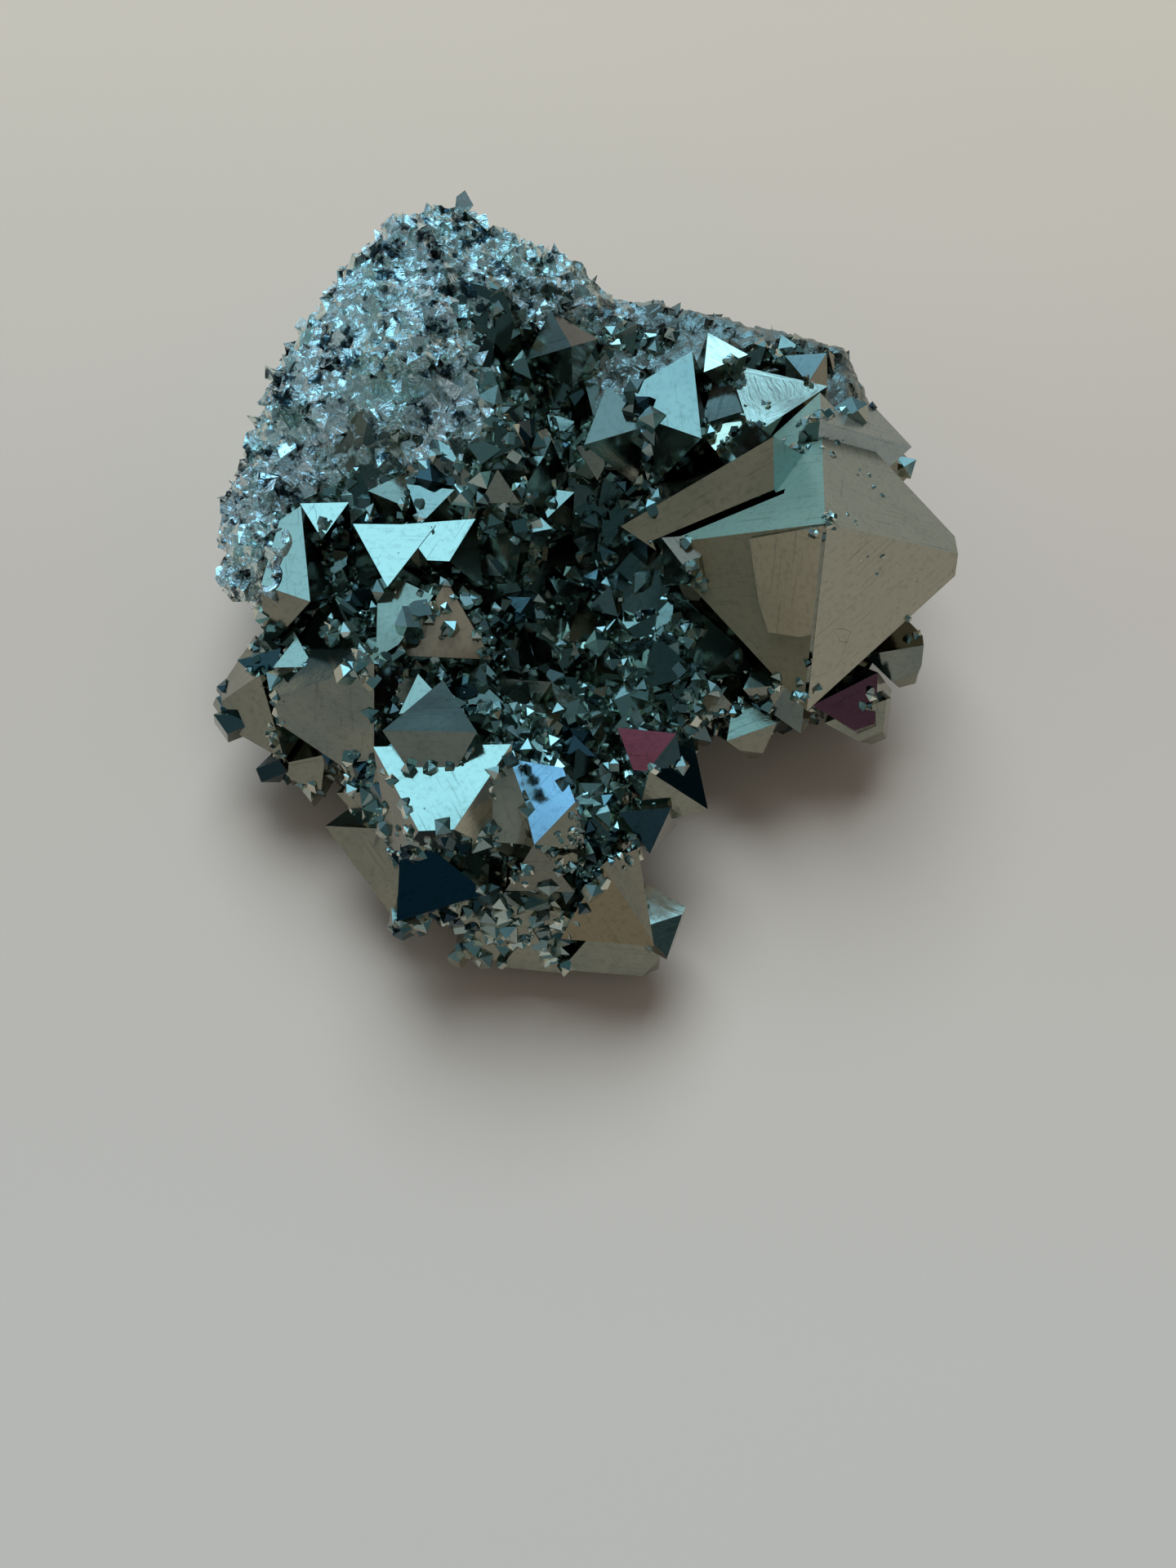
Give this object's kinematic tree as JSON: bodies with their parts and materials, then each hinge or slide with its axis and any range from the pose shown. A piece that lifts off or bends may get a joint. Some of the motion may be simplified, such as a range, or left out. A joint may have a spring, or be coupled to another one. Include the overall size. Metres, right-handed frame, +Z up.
{
  "type": "raw pyrite cluster",
  "caption": "Palm-sized cluster of metallic octahedral crystals grown over a broken lump, with a granular crust and a dark crystal-lined hollow.",
  "frame": {"origin": "centre of the footprint, on the surface that the cluster rests on", "axes": "+Z up, from the flat broken underside to the tip of the large crystal; +Y along the longest side, from the small front crystals to the granular crust; +X toward the large crystal"},
  "size_m": [0.0472, 0.0528, 0.023],
  "materials": {
    "pyrite": "metallic; mirror-bright crystal faces over a finely granular crust"
  },
  "bodies": {
    "root": {"pyrite_cluster": "pyrite"}
  },
  "joints": []
}
